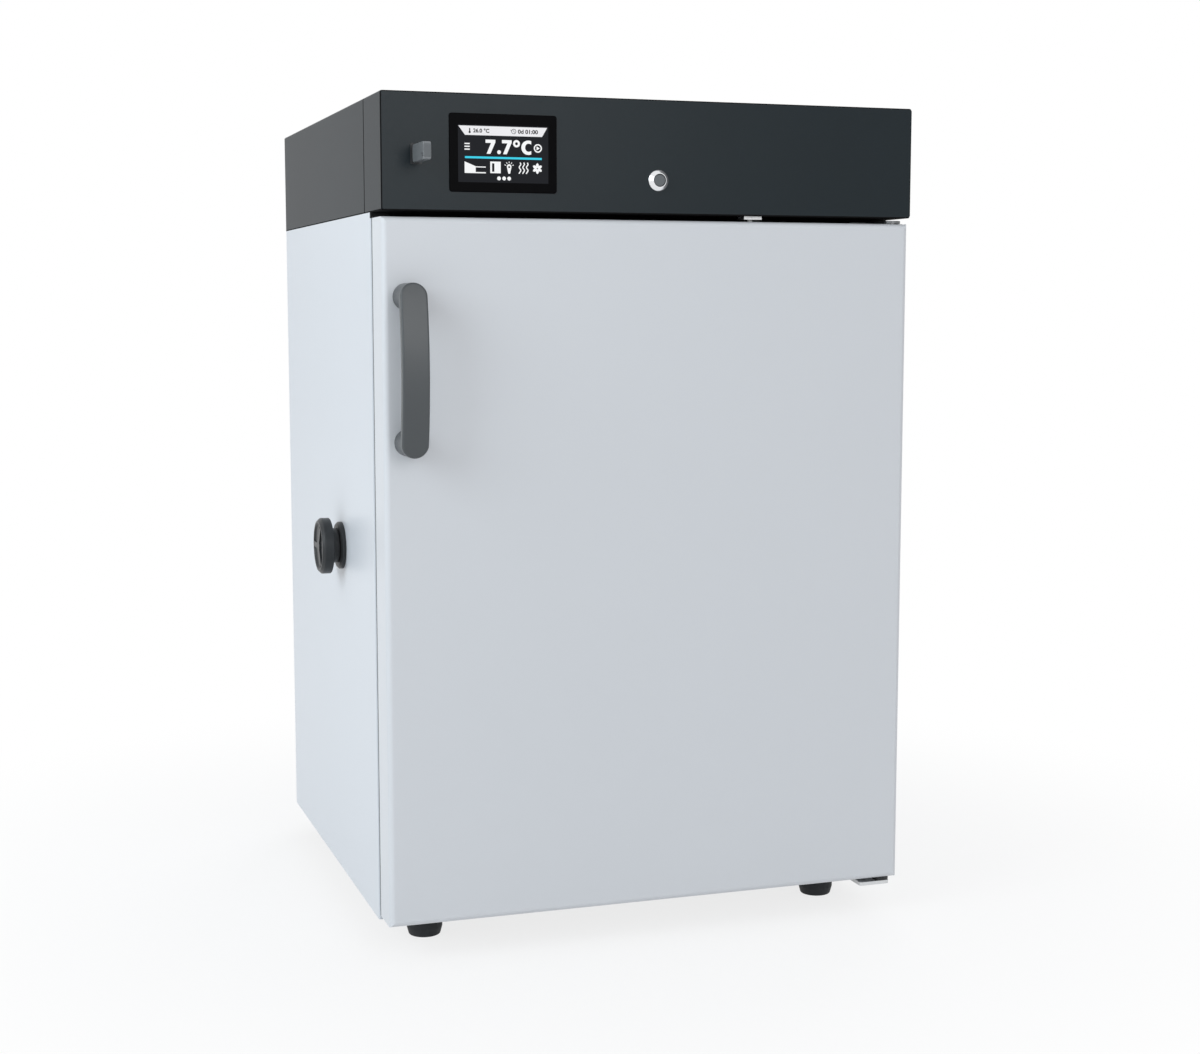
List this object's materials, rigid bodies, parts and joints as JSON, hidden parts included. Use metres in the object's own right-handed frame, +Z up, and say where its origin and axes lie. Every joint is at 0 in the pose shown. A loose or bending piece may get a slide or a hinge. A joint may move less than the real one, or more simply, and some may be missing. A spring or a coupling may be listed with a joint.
{
  "type": "refrigerated incubator",
  "caption": "White refrigerated incubator with a slate control head, a front door with a bow handle, wire shelves, a circulation fan and a compressor bay.",
  "frame": {"origin": "on the floor under the middle of the cabinet's 600 x 590 mm footprint, in the plane of the feet", "axes": "+X to the right as seen from in front of the door, +Y from the door to the back, +Z up"},
  "size_m": [0.6278, 0.6431, 0.916],
  "materials": {
    "cabinet_paint": "satin",
    "head_paint": "satin",
    "handle_paint": "satin",
    "stainless": "satin",
    "zinc_steel": "satin",
    "chrome": "polished",
    "aluminium": "satin",
    "drive_metal": "satin",
    "copper": "satin",
    "compressor_paint": "gloss",
    "foam": "matte",
    "black_rubber": "matte",
    "grey_rubber": "matte",
    "black_plastic": "satin",
    "white_plastic": "satin",
    "screen": "gloss",
    "lamp_diffuser": "satin",
    "board": "satin"
  },
  "bodies": {
    "cabinet": {"back_panel": "cabinet_paint", "base_tray": "zinc_steel", "bay_panel": "zinc_steel", "button_ring": "chrome", "chamber_fan_motor": "aluminium", "chamber_lamp": "lamp_diffuser", "compressor": "compressor_paint", "compressor_mounts": "black_rubber", "condenser": "aluminium", "condenser_fan_frame": "black_plastic", "controller_board": "board", "display_bezel": "black_plastic", "display_screen": "screen", "door_switch": "zinc_steel", "drain_tube": "white_plastic", "drip_pan": "black_plastic", "duct_panel": "stainless", "evaporator": "aluminium", "fascia_frame": "head_paint", "fascia_plate": "head_paint", "feet": "black_rubber", "filter_drier": "copper", "front_frame": "cabinet_paint", "head_cover": "head_paint", "head_floor": "zinc_steel", "heater": "stainless", "hinge_bracket_bottom": "zinc_steel", "hinge_pins": "stainless", "hinge_plate_top": "zinc_steel", "hinge_screws": "stainless", "insulation": "foam", "liner": "stainless", "mains_inlet": "black_plastic", "port_ring": "black_rubber", "port_sleeve": "black_plastic", "power_supply": "aluminium", "refrigerant_pipes": "copper", "shelf_rack_left": "stainless", "shelf_rack_right": "stainless", "side_panel_left": "cabinet_paint", "side_panel_right": "cabinet_paint", "temperature_probe": "stainless", "usb_socket": "black_plastic"},
    "door": {"door_panel": "cabinet_paint", "door_insulation": "foam", "door_liner": "stainless", "door_gasket": "grey_rubber", "handle_bar": "handle_paint", "handle_posts": "handle_paint", "door_bushes": "white_plastic"},
    "shelf_bottom": {"shelf_bottom": "stainless"},
    "shelf_middle": {"shelf_middle": "stainless"},
    "shelf_top": {"shelf_top": "stainless"},
    "chamber_fan": {"chamber_fan_wheel": "black_plastic"},
    "condenser_fan": {"condenser_fan_wheel": "black_plastic"},
    "power_button": {"power_button": "zinc_steel"},
    "usb_drive": {"usb_drive": "drive_metal"},
    "port_plug": {"port_plug": "black_rubber"},
    "door_switch_rod": {"door_switch_rod": "white_plastic"},
    "mains_rocker": {"mains_rocker": "black_plastic"}
  },
  "joints": [
    {"name": "door_hinge", "type": "hinge", "parent": "cabinet", "child": "door", "pos_m": [0.283, -0.282, 0.4155], "axis": [0, 0, 1], "range_deg": [0, 120]},
    {"name": "shelf_bottom_slide", "type": "slide", "parent": "cabinet", "child": "shelf_bottom", "axis": [0, -1, 0], "range_m": [0, 0.028]},
    {"name": "shelf_middle_slide", "type": "slide", "parent": "cabinet", "child": "shelf_middle", "axis": [0, -1, 0], "range_m": [0, 0.028]},
    {"name": "shelf_top_slide", "type": "slide", "parent": "cabinet", "child": "shelf_top", "axis": [0, -1, 0], "range_m": [0, 0.028]},
    {"name": "chamber_fan_spin", "type": "hinge", "parent": "cabinet", "child": "chamber_fan", "pos_m": [0, 0.1872, 0.661], "axis": [0, 1, 0], "continuous": true},
    {"name": "condenser_fan_spin", "type": "hinge", "parent": "cabinet", "child": "condenser_fan", "pos_m": [0.155, 0.2273, 0.125], "axis": [0, 1, 0], "continuous": true},
    {"name": "power_button_press", "type": "slide", "parent": "cabinet", "child": "power_button", "axis": [0, 1, 0], "range_m": [0, 0.002], "stiffness_N_per_m": 800},
    {"name": "usb_drive_pull", "type": "slide", "parent": "cabinet", "child": "usb_drive", "axis": [0, -1, 0], "range_m": [0, 0.015]},
    {"name": "port_plug_pull", "type": "slide", "parent": "cabinet", "child": "port_plug", "axis": [-1, 0, 0], "range_m": [0, 0.06]},
    {"name": "door_switch_press", "type": "slide", "parent": "cabinet", "child": "door_switch_rod", "axis": [0, 0, 1], "range_m": [0, 0.003], "stiffness_N_per_m": 200},
    {"name": "mains_rocker_tilt", "type": "hinge", "parent": "cabinet", "child": "mains_rocker", "pos_m": [-0.23, 0.2945, 0.8695], "axis": [1, 0, 0], "range_deg": [-14, 0]}
  ]
}
